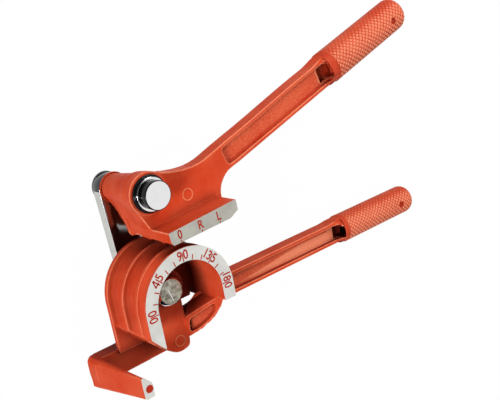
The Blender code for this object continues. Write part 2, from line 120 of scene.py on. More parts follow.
# Edges and hollows of a casting, from the attribute that castBody and knurledGrip write: lighter edges,
# partly a painted highlight, and painted shade in hollows
def makeEdges():
    tree, start, end = newGroup("edges", [("Edge Width", "NodeSocketFloat", 0.12),
                                          ("Hollow Width", "NodeSocketFloat", 0.12)],
                                [("Edge", "NodeSocketFloat"), ("Hollow", "NodeSocketFloat")])
    lift = tree.nodes.new("ShaderNodeAttribute")
    lift.attribute_name = "edgeLift"
    down = mathNode(tree.nodes, "MULTIPLY", 0.0, -1.0)
    tree.links.new(lift.outputs["Fac"], down.inputs[0])
    for label, source in (("Edge", lift.outputs["Fac"]), ("Hollow", down.outputs["Value"])):
        spread = rangeNode(tree.nodes, 0.03, 0.12)
        tree.links.new(source, spread.inputs["Value"])
        tree.links.new(start.outputs[label + " Width"], spread.inputs["From Max"])
        tree.links.new(spread.outputs["Result"], end.inputs[label])
    return tree


patches = makePatches()
edges = makeEdges()

paintLook = {
    "colour": (0.60, 0.053, 0.016),
    "light": (0.66, 0.088, 0.034),
    # Colour of hollows: painted shade
    "deep": (0.30, 0.012, 0.004),
    # Colour of edges: partly paint worn thin, partly a painted highlight
    "edge": (0.90, 0.28, 0.15),
    "edgeWidth": 0.11,
    "roughness": 0.34,
    "specular": 0.02,
    # Painted shade: its dark colour, how far it reaches, where it is full and where none, and its strength
    "paintedShade": (0.070, 0.009, 0.006),
    "paintedShadeReach": 0.017,
    "paintedShadeFull": 0.46,
    "paintedShadeNone": 0.82,
    "paintedShadeShare": 0.76,
    "paintedShadeAlone": False,
    "floorScale": 1400.0,
    "floorShare": (0.0, 0.42),
    "grainScale": 1500.0,
    "grainDepth": 0.16,
    "waveScale": 260.0,
    "waveDepth": 0.10,
    "patchScale": 70.0,
    "fineScale": 1100.0,
    "hollowShadeShare": 0.55,
    "wornAndHighlightShare": 0.55,
    "paintedShadeSamples": 12,
    "glossRange": (-0.05, 0.10),
    "waveHeight": 0.0006,
    "grainHeight": 0.0002,
}


def paintMaterial(name, look):
    # Sprayed enamel over a rough casting: orange peel, edges lighter (partly paint worn thin, partly a
    # painted highlight), and painted shade in hollows and where the casting closes in on itself
    made, nodes, links = newMaterial(name)
    shader = nodes["Principled BSDF"]
    shader.inputs["Specular IOR Level"].default_value = look["specular"]
    place = nodes.new("ShaderNodeTexCoord")
    vary = nodes.new("ShaderNodeGroup")
    vary.node_tree = patches
    vary.inputs["Slow Scale"].default_value = look["patchScale"]
    vary.inputs["Fine Scale"].default_value = look["fineScale"]
    rim = nodes.new("ShaderNodeGroup")
    rim.node_tree = edges
    rim.inputs["Edge Width"].default_value = look["edgeWidth"]
    base = mixColour(nodes, look["colour"], look["light"])
    links.new(vary.outputs["Slow"], base.inputs["Factor"])
    # Hollows darken: painted shade
    hollowShadeAmount = mathNode(nodes, "MULTIPLY", 0.0, look["hollowShadeShare"])
    links.new(rim.outputs["Hollow"], hollowShadeAmount.inputs[0])
    hollowShaded = mixColour(nodes, look["colour"], look["deep"])
    links.new(base.outputs["Result"], hollowShaded.inputs["A"])
    links.new(hollowShadeAmount.outputs["Value"], hollowShaded.inputs["Factor"])
    # Edges are lighter in specks, partly paint worn thin and partly a painted highlight
    thin = rangeNode(nodes, 0.0, 1.0, look["wornAndHighlightShare"], 1.0)
    links.new(vary.outputs["Fine"], thin.inputs["Value"])
    speck = mathNode(nodes, "MULTIPLY")
    links.new(rim.outputs["Edge"], speck.inputs[0])
    links.new(thin.outputs["Result"], speck.inputs[1])
    brighter = mixColour(nodes, look["colour"], look["edge"])
    links.new(hollowShaded.outputs["Result"], brighter.inputs["A"])
    links.new(speck.outputs["Value"], brighter.inputs["Factor"])
    # A channel's floor keeps the mould's coarse grain
    floor = nodes.new("ShaderNodeAttribute")
    floor.attribute_name = "coarse"
    grains = noiseNode(nodes, look["floorScale"], 3.0, 0.7)
    grainShare = rangeNode(nodes, 0.38, 0.68, look["floorShare"][0], look["floorShare"][1])
    coarser = mathNode(nodes, "MULTIPLY")
    links.new(place.outputs["Object"], grains.inputs["Vector"])
    links.new(grains.outputs["Fac"], grainShare.inputs["Value"])
    links.new(grainShare.outputs["Result"], coarser.inputs[0])
    links.new(floor.outputs["Fac"], coarser.inputs[1])
    grainy = mixColour(nodes, look["colour"], look["edge"])
    links.new(brighter.outputs["Result"], grainy.inputs["A"])
    links.new(coarser.outputs["Value"], grainy.inputs["Factor"])
    # Painted shade: the colour turns dark where the casting closes in on itself
    hidden = nodes.new("ShaderNodeAmbientOcclusion")
    hidden.samples = look["paintedShadeSamples"]
    hidden.only_local = look["paintedShadeAlone"]
    hidden.inputs["Distance"].default_value = look["paintedShadeReach"]
    paintedShade = rangeNode(nodes, look["paintedShadeFull"], look["paintedShadeNone"], look["paintedShadeShare"], 0.0)
    links.new(hidden.outputs["AO"], paintedShade.inputs["Value"])
    paintedShadeMix = mixColour(nodes, look["colour"], look["paintedShade"])
    links.new(grainy.outputs["Result"], paintedShadeMix.inputs["A"])
    links.new(paintedShade.outputs["Result"], paintedShadeMix.inputs["Factor"])
    links.new(paintedShadeMix.outputs["Result"], shader.inputs["Base Color"])
    smoother, rougher = look["glossRange"]
    gloss = rangeNode(nodes, 0.0, 1.0, look["roughness"] + smoother, look["roughness"] + rougher)
    links.new(vary.outputs["Fine"], gloss.inputs["Value"])
    links.new(gloss.outputs["Result"], shader.inputs["Roughness"])
    wave = noiseNode(nodes, look["waveScale"], 2.0)
    grain = noiseNode(nodes, look["grainScale"], 5.0, 0.6)
    first = nodes.new("ShaderNodeBump")
    second = nodes.new("ShaderNodeBump")
    first.inputs["Strength"].default_value = look["waveDepth"]
    first.inputs["Distance"].default_value = look["waveHeight"]
    second.inputs["Strength"].default_value = look["grainDepth"]
    second.inputs["Distance"].default_value = look["grainHeight"]
    for texture, bump in ((wave, first), (grain, second)):
        links.new(place.outputs["Object"], texture.inputs["Vector"])
        links.new(texture.outputs["Fac"], bump.inputs["Height"])
    links.new(first.outputs["Normal"], second.inputs["Normal"])
    links.new(second.outputs["Normal"], shader.inputs["Normal"])
    return made


lineHeight = 0.0001


def metalMaterial(name, look):
    # Bare or plated metal with fine brushed lines along one axis and some patches
    made, nodes, links = newMaterial(name)
    shader = nodes["Principled BSDF"]
    shader.inputs["Metallic"].default_value = look["metallic"]
    place = nodes.new("ShaderNodeTexCoord")
    vary = nodes.new("ShaderNodeGroup")
    vary.node_tree = patches
    vary.inputs["Slow Scale"].default_value = look["patchScale"]
    vary.inputs["Fine Scale"].default_value = look["fineScale"]
    base = mixColour(nodes, look["colour"], look["second"])
    share = mathNode(nodes, "MULTIPLY", 0.0, look["patchShare"])
    links.new(vary.outputs["Slow"], share.inputs[0])
    links.new(share.outputs["Value"], base.inputs["Factor"])
    links.new(base.outputs["Result"], shader.inputs["Base Color"])
    stretch = nodes.new("ShaderNodeMapping")
    stretch.inputs["Scale"].default_value = look["stretch"]
    stretch.inputs["Rotation"].default_value = (0.0, 0.0, look.get("turn", 0.0))
    lines = noiseNode(nodes, look["lineScale"], 3.0)
    links.new(place.outputs["Object"], stretch.inputs["Vector"])
    links.new(stretch.outputs["Vector"], lines.inputs["Vector"])
    gloss = rangeNode(nodes, 0.3, 0.7, look["roughness"], look["roughness"] + look["roughRange"])
    links.new(lines.outputs["Fac"], gloss.inputs["Value"])
    links.new(gloss.outputs["Result"], shader.inputs["Roughness"])
    bump = nodes.new("ShaderNodeBump")
    bump.inputs["Strength"].default_value = look["lineDepth"]
    bump.inputs["Distance"].default_value = lineHeight
    links.new(lines.outputs["Fac"], bump.inputs["Height"])
    links.new(bump.outputs["Normal"], shader.inputs["Normal"])
    return made


bareLook = {"metallic": 0.55, "colour": (0.70, 0.69, 0.65), "second": (0.55, 0.54, 0.50),
            "patchShare": 0.5, "patchScale": 160.0, "fineScale": 2200.0, "stretch": (1.0, 14.0, 1.0),
            "turn": math.radians(35.0), "lineScale": 220.0, "roughness": 0.34, "roughRange": 0.16,
            "lineDepth": 0.25}
plateLook = {**bareLook, "colour": (0.47, 0.46, 0.40), "second": (0.34, 0.33, 0.29),
             "turn": math.radians(60.0)}
chromeLook = {"metallic": 1.0, "colour": (0.74, 0.74, 0.74), "second": (0.66, 0.66, 0.67),
              "patchShare": 0.5, "patchScale": 120.0, "fineScale": 1500.0, "stretch": (1.0, 1.0, 1.0),
              "lineScale": 350.0, "roughness": 0.05, "roughRange": 0.05, "lineDepth": 0.03}
# Chrome painted dark: a painted dark reflection
darkReflectionChromeLook = {**chromeLook, "colour": (0.075, 0.075, 0.08), "second": (0.04, 0.04, 0.045),
                  "roughness": 0.08}
# Chrome painted near black: a painted dark reflection
blackReflectionChromeLook = {**chromeLook, "colour": (0.022, 0.022, 0.024), "second": (0.010, 0.010, 0.011),
                   "roughness": 0.10}
linkEdgeLook = {"metallic": 0.8, "colour": (0.60, 0.60, 0.57), "second": (0.48, 0.48, 0.46),
                "patchShare": 0.6, "patchScale": 140.0, "fineScale": 1500.0, "stretch": (1.0, 1.0, 16.0),
                "lineScale": 160.0, "roughness": 0.34, "roughRange": 0.14, "lineDepth": 0.05}
# The link's broad faces are darker than its edges: a painted dark reflection
linkFaceLook = {"metallic": 1.0, "colour": (0.30, 0.29, 0.28), "second": (0.20, 0.19, 0.19),
                "patchShare": 0.6, "patchScale": 140.0, "fineScale": 1500.0, "stretch": (1.0, 22.0, 1.0),
                "turn": math.radians(-2.5), "lineScale": 160.0, "roughness": 0.12, "roughRange": 0.08,
                "lineDepth": 0.02}
platedLook = {"metallic": 1.0, "colour": (0.44, 0.42, 0.34), "second": (0.13, 0.12, 0.09),
              "patchShare": 0.9, "patchScale": 520.0, "fineScale": 1500.0, "stretch": (1.0, 1.0, 1.0),
              "lineScale": 900.0, "roughness": 0.24, "roughRange": 0.22, "lineDepth": 0.25}
washerLook = {"metallic": 1.0, "colour": (0.50, 0.50, 0.50), "second": (0.36, 0.36, 0.35),
              "patchShare": 0.6, "patchScale": 300.0, "fineScale": 1500.0, "stretch": (1.0, 6.0, 1.0),
              "lineScale": 400.0, "roughness": 0.30, "roughRange": 0.15, "lineDepth": 0.15}
ringLook = {"metallic": 1.0, "colour": (0.16, 0.16, 0.17), "second": (0.09, 0.09, 0.09),
            "patchShare": 0.7, "patchScale": 400.0, "fineScale": 1500.0, "stretch": (1.0, 1.0, 1.0),
            "lineScale": 700.0, "roughness": 0.32, "roughRange": 0.18, "lineDepth": 0.15}

castPaint = paintMaterial("cast_paint", paintLook)
handlePaint = paintMaterial("handle_paint", {**paintLook, "paintedShadeShare": 0.40, "paintedShadeReach": 0.010,
                                             "paintedShadeAlone": True})
gripPaint = paintMaterial("grip_paint", {**paintLook, "colour": (0.54, 0.048, 0.018),
                                         "light": (0.62, 0.085, 0.036), "edge": (0.86, 0.30, 0.17),
                                         "paintedShadeReach": 0.003, "paintedShadeAlone": True})
# Lighter paint for the raised rings: a painted highlight
ringHighlightPaint = paintMaterial("ring_painted_highlight", {**paintLook, "colour": (0.74, 0.16, 0.07),
                                         "light": (0.80, 0.22, 0.11), "paintedShadeShare": 0.2,
                                         "paintedShadeReach": 0.002, "paintedShadeAlone": True})
bareMetal = metalMaterial("machined_metal", bareLook)
plateMetal = metalMaterial("machined_plate", plateLook)
chrome = metalMaterial("bright_chrome", chromeLook)
darkReflectionChrome = metalMaterial("painted_dark_reflection_chrome", darkReflectionChromeLook)
blackReflectionChrome = metalMaterial("painted_black_reflection_chrome", blackReflectionChromeLook)
linkEdgeSteel = metalMaterial("link_edge", linkEdgeLook)
linkFaceSteel = metalMaterial("link_face", linkFaceLook)
platedSteel = metalMaterial("plated_pin", platedLook)
washerSteel = metalMaterial("washer_steel", washerLook)
ringSteel = metalMaterial("ring_steel", ringLook)
figurePaint = paintMaterial("figure_paint", {**paintLook, "colour": (0.36, 0.022, 0.010),
                                             "light": (0.46, 0.034, 0.015), "roughness": 0.42,
                                             "waveDepth": 0.03})
print("materials made")


def placeMesh(name, bm, body, materials, sharp=35.0):
    mesh = bpy.data.meshes.new(name)
    bm.to_mesh(mesh)
    bm.free()
    for look in materials:
        mesh.materials.append(look)
    mesh.shade_smooth()
    mesh.set_sharp_from_angle(angle=math.radians(sharp))
    made = bpy.data.objects.new(name, mesh)
    bpy.context.collection.objects.link(made)
    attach(made, body)
    return made


def meshWithModifiers(made):
    # The object's mesh with its modifiers applied, and the object removed
    bpy.context.view_layer.update()
    shaped = made.evaluated_get(bpy.context.evaluated_depsgraph_get())
    mesh = bpy.data.meshes.new_from_object(shaped)
    bpy.data.objects.remove(made, do_unlink=True)
    return mesh


def cutAway(bm, point, normal):
    # Removes what lies past a plane and closes the cut, pits and all
    cut = bmesh.ops.bisect_plane(bm, geom=bm.verts[:] + bm.edges[:] + bm.faces[:], dist=1e-7, plane_co=point,
                                 plane_no=normal, clear_outer=True)
    rim = [item for item in cut["geom_cut"] if isinstance(item, bmesh.types.BMEdge)]
    filled = bmesh.ops.triangle_fill(bm, use_beauty=True, edges=rim, normal=normal)
    faces = [item for item in filled["geom"] if isinstance(item, bmesh.types.BMFace)]
    for face in faces:
        face.normal_update()
        if face.normal.dot(normal) < 0:
            face.normal_flip()
    return faces


castLook = {"voxel": 0.32 * mm, "smoothSteps": 4, "smoothFactor": 0.5, "topBand": 0.1 * mm,
            "stretch": 2.0 * mm, "faceDrop": 0.04 * mm, "triangles": 150000}
easeLook = {"rounds": 40, "factor": 0.5, "inner": 6.3 * mm, "outer": 12.8 * mm,
            "low": dialTop - 41.6 * mm, "high": dialTop - 14.6 * mm}
armLook = {
    "lower": {"start": 133.6 * mm, "half": 5.5 * mm, "left": (0.9 * mm, 0.2 * mm, 1.2 * mm),
              "right": 0.35 * mm, "floor": (125.6 * mm, 128.8 * mm, 134.4 * mm), "pocketHalf": 3.4 * mm},
    "upper": {"start": 127.3 * mm, "half": 6.2 * mm, "left": (0.15 * mm, 1.0 * mm, 1.4 * mm),
              "right": 0.6 * mm, "floor": (117.6 * mm, 123.6 * mm, 129.2 * mm), "pocketHalf": 3.9 * mm},
}
swellLook = {"ease": (36.0 * mm, 52.0 * mm), "slow": (55.0 * mm, 105.0 * mm), "quick": 15.0 * mm,
             "flare": 13.0 * mm, "under": 4.05 * mm, "inside": 0.5 * mm, "pocketFloor": -0.9 * mm,
             "channel": (1.1 * mm, 2.2 * mm),
             "turnOver": 4.0 * mm, "upward": 0.8}


def smoothStep(value, low, high):
    share = min(max((value - low) / (high - low), 0.0), 1.0)
    return share * share * (3.0 - 2.0 * share)


def shapeArm(bm, coarse, turn, middle, sizes, grip):
    # One side of the arm swells into the grip, the other runs straight, and a pocket ends the channel
    back = turn.inverted()
    look = swellLook
    for vert in bm.verts:
        local = back @ vert.co
        ease = smoothStep(local.x, look["ease"][0], look["ease"][1])
        if ease == 0.0:
            continue
        across = local.y - middle.y
        left = sizes["left"][0] + sizes["left"][1] * smoothStep(local.x, look["slow"][0], look["slow"][1])
        left += sizes["left"][2] * smoothStep(local.x, sizes["start"] - look["quick"], sizes["start"])
        push = ease * (left if across > 0 else sizes["right"])
        across += push * max(-1.0, min(1.0, across / look["turnOver"]))
        if local.x > sizes["start"] - look["flare"]:
            # The plain flare of the casting gives way to the shape of the photo
            height = max(local.z - middle.z, -look["under"])
            around = Vector((across - grip["shift"], height))
            if around.length > grip["radius"] - look["inside"]:
                around *= (grip["radius"] - look["inside"]) / around.length
            across, height = around.x + grip["shift"], around.y
            across = min(max(across, -sizes["half"] - sizes["right"]), sizes["half"] + left)
            local.z = middle.z + height
        local.y = middle.y + across
        inside = abs(across) < sizes["pocketHalf"]
        if inside and look["channel"][0] < local.z - middle.z < look["channel"][1]:
            vert[coarse] = 1.0
        inPocket = inside and sizes["floor"][0] < local.x < sizes["floor"][2]
        isFloor = vert.normal.z > look["upward"] or local.x > sizes["floor"][1]
        if inPocket and isFloor and local.z > middle.z:
            local.z = middle.z + look["pocketFloor"]
        vert.co = turn @ local


def easeBoss(bm):
    # The boss runs into the core behind it with no step
    look = easeLook
    soft = []
    for vert in bm.verts:
        away = (Vector((vert.co.x, vert.co.y, 0.0)) - upperPinPlace).length
        if look["inner"] < away < look["outer"] and look["low"] < vert.co.z < look["high"]:
            soft.append(vert)
    for step in range(look["rounds"]):
        bmesh.ops.smooth_vert(bm, verts=soft, factor=look["factor"], use_axis_x=True, use_axis_y=True,
                              use_axis_z=False)


def castBody(name, node, body, gripCut, looks, shapeMore):
    # A copy of the CAD casting with rounded edges, its top faces machined flat again
    look = castLook
    bm = bmesh.new()
    bm.from_mesh(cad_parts[node].data)
    bmesh.ops.remove_doubles(bm, verts=bm.verts, dist=mergeGap)
    for vert in bm.verts:
        if vert.co.z > dialTop - look["topBand"]:
            vert.co.z += look["stretch"]
    cutAway(bm, *gripCut)
    rough = bpy.data.meshes.new(name)
    bm.to_mesh(rough)
    bm.free()
    holder = bpy.data.objects.new(name, rough)
    bpy.context.collection.objects.link(holder)
    remesh = holder.modifiers.new("round", "REMESH")
    remesh.mode = "VOXEL"
    remesh.voxel_size = look["voxel"]
    ease = holder.modifiers.new("ease", "SMOOTH")
    ease.factor = look["smoothFactor"]
    ease.iterations = look["smoothSteps"]
    bm = bmesh.new()
    bm.from_mesh(meshWithModifiers(holder))
    bmesh.ops.recalc_face_normals(bm, faces=bm.faces)
    lift = bm.verts.layers.float.new("edgeLift")
    bm.normal_update()
    coarse = bm.verts.layers.float.new("coarse")
    shapeMore(bm, coarse)
    bm.normal_update()
    # How much each point stands proud of its neighbours, for the paint's lighter edges (partly a painted
    # highlight) and its painted shade in hollows
    raw = {}
    for vert in bm.verts:
        near = [edge.other_vert(vert).co for edge in vert.link_edges]
        middle = sum(near, Vector()) / len(near)
        raw[vert] = (vert.co - middle).dot(vert.normal) / look["voxel"]
    for vert in bm.verts:
        near = [raw[edge.other_vert(vert)] for edge in vert.link_edges]
        vert[lift] = 0.5 * raw[vert] + 0.5 * sum(near) / len(near)
    fine = bpy.data.meshes.new(name)
    bm.to_mesh(fine)
    bm.free()
    holder = bpy.data.objects.new(name, fine)
    bpy.context.collection.objects.link(holder)
    thin = holder.modifiers.new("thin", "DECIMATE")
    thin.ratio = min(1.0, look["triangles"] / (2.0 * len(fine.polygons)))
    bm = bmesh.new()
    bm.from_mesh(meshWithModifiers(holder))
    face = dialTop - look["faceDrop"]
    for flat in cutAway(bm, Vector((0.0, 0.0, face)), Vector((0.0, 0.0, 1.0))):
        flat.material_index = 1
    made = placeMesh(name, bm, body, looks)
    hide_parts(node)
    print(name, len(made.data.polygons), "faces")


gripLook = {
    "lower": {"neck": 130.4 * mm, "start": 133.6 * mm, "end": 194.35 * mm, "radius": 8.4 * mm,
              "shift": 0.1 * mm},
    "upper": {"neck": 122.6 * mm, "start": 127.3 * mm, "end": 189.9 * mm, "radius": 9.15 * mm,
              "shift": 0.45 * mm},
}
knurlLook = {"around": 40, "pitch": 1.38 * mm, "depth": 0.46 * mm, "stepsPerDiamond": 4, "flatShare": 0.25,
             "dome": 6.2 * mm, "domeRows": 14, "domeFade": 1.6,
             "neckRows": 6, "neckDrop": 0.55 * mm, "neckTaper": 1.5 * mm, "neckStep": 0.25 * mm,
             "neckWall": 1.1 * mm, "neckHollow": 6.0 * mm, "neckFlush": (0.0, 0.7), "merge": 0.003 * mm,
             "upperSide": (0.45, 0.92), "upperFade": 0.8, "lowerSide": (0.72, 0.97), "lowerFade": 0.85,
             "pitRadius": 1.8 * mm, "pitDepth": 1.0 * mm, "pitBack": 14.0 * mm, "pitShade": -0.4,
             "pointHighlight": 0.34, "grooveShade": -0.06}


def knurledGrip(name, body, turn, middle, sizes):
    # A sleeve of diamond points on a short neck, closed by a dome, wrapped from a flat grid
    look = knurlLook
    length = sizes["end"] - sizes["start"] - look["dome"]
    rows = int(round(length / look["pitch"])) * look["stepsPerDiamond"]
    neckRows, domeRows = look["neckRows"], look["domeRows"]
    around = look["around"] * look["stepsPerDiamond"]
    total = neckRows + rows + domeRows
    bm = bmesh.new()
    bmesh.ops.create_grid(bm, x_segments=total, y_segments=around, size=0.5)
    lift = bm.verts.layers.float.new("edgeLift")
    for vert in bm.verts:
        row = (vert.co.x + 0.5) * total - neckRows
        angle = (vert.co.y + 0.5) * math.tau
        neck = min(max((-row - 1.0) / (neckRows - 1.0), 0.0), 1.0)
        dome = max(0.0, (row - rows) / domeRows)
        along = sizes["start"] + length * min(max(row / rows, 0.0), 1.0)
        along += look["dome"] * math.sin(dome * math.pi / 2)
        radius = sizes["radius"] * math.cos(dome * math.pi / 2)
        if row < -0.5:
            shoulder = sizes["start"] - look["neckStep"]
            along = shoulder - (shoulder - sizes["neck"]) * neck
            radius -= look["neckDrop"] * (1.0 - smoothStep(math.sin(angle), *look["neckFlush"]))
        # Two sets of slanting grooves cross. They fade at both sides and run out at the neck and the dome.
        step = (along - sizes["start"]) / look["pitch"]
        turnShare = angle / math.tau * look["around"]
        slants = ((step + turnShare) / 2, (step - turnShare) / 2)
        across = [abs((value % 1.0) * 2.0 - 1.0) for value in slants]
        groove = max(max(across) - look["flatShare"], 0.0) / (1.0 - look["flatShare"])
        fade = (1.0 if row > 0 else 0.0) * max(0.0, 1.0 - dome * look["domeFade"])
        side = 1.0 - look["upperFade"] * smoothStep(math.sin(angle), *look["upperSide"])
        side *= 1.0 - look["lowerFade"] * smoothStep(-math.sin(angle), *look["lowerSide"])
        radius -= look["depth"] * groove * fade * side
        # Painted highlight on the points and painted shade in the grooves, through edgeLift
        vert[lift] = (look["pointHighlight"] + (look["grooveShade"] - look["pointHighlight"]) * groove) * fade * side
        vert.co = Vector((along, radius * math.sin(angle), radius * math.cos(angle)))
        if row < -0.5:
            vert.co.y = min(vert.co.y, radius - look["neckTaper"] * neck)
            vert.co.z = max(vert.co.z, -swellLook["under"])
    bmesh.ops.remove_doubles(bm, verts=bm.verts, dist=look["merge"])
    pit = Vector((sizes["end"] - look["pitBack"], 0.0, sizes["radius"]))
    for vert in bm.verts:
        reach = (vert.co - pit).length
        if reach < look["pitRadius"]:
            vert.co.z = sizes["radius"] - look["pitDepth"]
            # Painted shade in the pit
            vert[lift] = look["pitShade"]
    rim = [edge for edge in bm.edges if edge.is_boundary]
    ends = bmesh.ops.holes_fill(bm, edges=rim, sides=0)["faces"]
    bmesh.ops.recalc_face_normals(bm, faces=bm.faces)
    # The neck is hollow, as the dark pocket at the channel's end shows
    mouth = [face for face in ends if face.calc_center_median().x < sizes["start"]]
    bmesh.ops.inset_region(bm, faces=mouth, thickness=look["neckWall"], use_even_offset=True)
    for vert in {vert for face in mouth for vert in face.verts}:
        vert.co.x += look["neckHollow"]
    place = middle + Vector((0.0, sizes["shift"], 0.0))
    bmesh.ops.transform(bm, matrix=turn @ Matrix.Translation(place), verts=bm.verts)
    made = placeMesh(name, bm, body, [gripPaint], sharp=80.0)


armMiddle = {"lower": Vector((0.0, -19.0 * mm, dialTop - 39.0 * mm)),
             "upper": Vector((0.0, -10.4 * mm, dialTop - 18.1 * mm))}
# Where each casting is cut off inside its grip
lowerCut = (Vector((134.1 * mm, 0.0, 0.0)), Vector((1.0, 0.0, 0.0)))
upperCut = (armTurn @ Vector((127.8 * mm, 0.0, 0.0)), armTurn.to_3x3() @ Vector((1.0, 0.0, 0.0)))

hollowLook = {"x": (5.0 * mm, 21.0 * mm), "y": (-9.3 * mm, -7.4 * mm),
              "z": (dialTop - 36.5 * mm, dialTop - 20.0 * mm), "drop": 2.0 * mm, "run": 3.0 * mm,
              "fade": 6.0 * mm}
braceLook = {"x": (7.7 * mm, 17.4 * mm), "y": (-25.0 * mm, -10.4 * mm),
             "low": (5.7 * mm, dialTop - 23.9 * mm), "high": (20.9 * mm, dialTop - 7.0 * mm),
             "near": 0.6 * mm, "coarse": 0.8}


def shapeHollow(bm, coarse):
    # The lower edge of the web and the wall hangs a little lower, and the brace's pocket has a coarse floor
    look = hollowLook
    brace = braceLook
    (lowX, lowZ), (highX, highZ) = brace["low"], brace["high"]
    for vert in bm.verts:
        x, y, z = vert.co
        ranges = (look["x"], look["y"], look["z"])
        if all(low < value < high for value, (low, high) in zip(vert.co, ranges)):
            share = smoothStep(x, look["x"][0], look["x"][0] + look["run"])
            share *= 1.0 - smoothStep(z, look["z"][1] - look["fade"], look["z"][1])
            vert.co.y -= look["drop"] * share
        floor = lowZ + (highZ - lowZ) * (x - lowX) / (highX - lowX)
        inside = brace["x"][0] < x < brace["x"][1] and brace["y"][0] < y < brace["y"][1]
        if inside and abs(z - floor) < brace["near"]:
            vert[coarse] = brace["coarse"]


def shapeFormer(bm, coarse):
    shapeHollow(bm, coarse)
    shapeArm(bm, coarse, Matrix.Identity(4), armMiddle["lower"], armLook["lower"], gripLook["lower"])


heelLook = {"reach": (-6.0 * mm, 9.0 * mm), "groove": 6.2 * mm, "shallow": 0.30, "drop": 22.15 * mm,
            "fadeFrom": 0.68}


def easeHeel(bm):
    # The shoe's grooves run shallow towards its heel
    look = heelLook
    back = handleTurn.inverted()
    for vert in bm.verts:
        local = back @ vert.co
        deep = local.y + look["drop"]
        if 0.0 < deep < look["groove"] and look["reach"][0] < local.x < look["reach"][1]:
            share = 1.0 - smoothStep(local.x, 0.0, look["reach"][1])
            share *= 1.0 - smoothStep(deep, look["fadeFrom"] * look["groove"], look["groove"])
            keep = 1.0 - (1.0 - look["shallow"]) * share
            local.y = deep * keep - look["drop"]
            vert.co = handleTurn @ local


def shapeForming(bm, coarse):
    easeBoss(bm)
    easeHeel(bm)
    shapeArm(bm, coarse, armTurn, armMiddle["upper"], armLook["upper"], gripLook["upper"])


castBody("formerBody", "former_casting", "former", lowerCut, [castPaint, bareMetal], shapeFormer)
castBody("formingBody", "forming_casting", "forming", upperCut, [handlePaint, plateMetal], shapeForming)
knurledGrip("lowerGrip", "former", Matrix.Identity(4), armMiddle["lower"],
            gripLook["lower"])
knurledGrip("upperGrip", "forming", armTurn, armMiddle["upper"], gripLook["upper"])
print("castings and grips made")


turnLook = {"steps": 96, "hardAngle": math.radians(30.0), "bevelSteps": 3}


def turnedPiece(name, profile, centre, body, node, looks, bevel, slotOf):
    # A profile of radius and height, spun about an upright line
    bm = bmesh.new()
    points = [bm.verts.new((radius, 0.0, height)) for radius, height in profile]
    line = [bm.edges.new(pair) for pair in zip(points, points[1:])]
    if profile[0][0] > 0.0 and profile[-1][0] > 0.0:
        line.append(bm.edges.new((points[-1], points[0])))
    bmesh.ops.spin(bm, geom=points + line, cent=(0.0, 0.0, 0.0), axis=(0.0, 0.0, 1.0), angle=math.tau,
                   steps=turnLook["steps"], use_merge=True)
    bmesh.ops.remove_doubles(bm, verts=bm.verts, dist=mergeGap)
    bmesh.ops.recalc_face_normals(bm, faces=bm.faces)
    hard = [edge for edge in bm.edges if edge.is_manifold and edge.calc_face_angle() > turnLook["hardAngle"]]
    bmesh.ops.bevel(bm, geom=hard, offset=bevel, affect="EDGES", segments=turnLook["bevelSteps"], profile=0.5,
                    material=-1)
    bm.normal_update()
    for face in bm.faces:
        face.material_index = slotOf(face)
    bmesh.ops.translate(bm, vec=centre, verts=bm.verts)
    made = placeMesh(name, bm, body, looks)
    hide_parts(node)


pinLook = {"shank": 5.0 * mm, "neck": 4.4 * mm, "neckLow": 1.35 * mm, "neckHigh": 2.85 * mm,
           "tailChamfer": 0.6 * mm}


def pinTail(look):
    # The lower end of either pin, with the groove that its ring sits in
    return [(look["shank"], look["neckHigh"]), (look["neck"], look["neckHigh"]),
            (look["neck"], look["neckLow"]), (look["shank"], look["neckLow"]),
            (look["shank"], look["tailChamfer"]),
            (look["shank"] - look["tailChamfer"], 0.0), (0.0, 0.0)]


capLook = {"radius": 6.7 * mm, "top": dialTop - 5.7 * mm, "seat": dialTop - 10.2 * mm,
           "bevel": 0.45 * mm, "upward": 0.97}
headLook = {"radius": 7.3 * mm, "top": dialTop - 16.1 * mm, "seat": dialTop - 20.6 * mm,
            "chamfer": 1.3 * mm, "bevel": 0.2 * mm, "upward": 0.95}
collarLook = {"hole": 5.3 * mm, "step": 7.8 * mm, "radius": 8.7 * mm, "top": dialTop - 10.5 * mm,
              "middle": dialTop - 11.9 * mm, "base": dialTop - 13.3 * mm, "bevel": 0.3 * mm, "upward": 0.3,
              "topBand": 0.35 * mm}


def capSlot(face):
    # Bright on top and along the shank; around the cap the chrome is painted near black, a painted dark
    # reflection
    return 0 if face.normal.z > capLook["upward"] or face.calc_center_median().z < capLook["seat"] else 1


def collarSlot(face):
    # Only the topmost flat is bright; the rest is chrome painted near black, a painted dark reflection
    isTop = face.calc_center_median().z > collarLook["top"] - collarLook["topBand"]
    return 0 if isTop and face.normal.z > collarLook["upward"] else 1


def headSlot(face):
    return 0 if face.normal.z > headLook["upward"] else 1


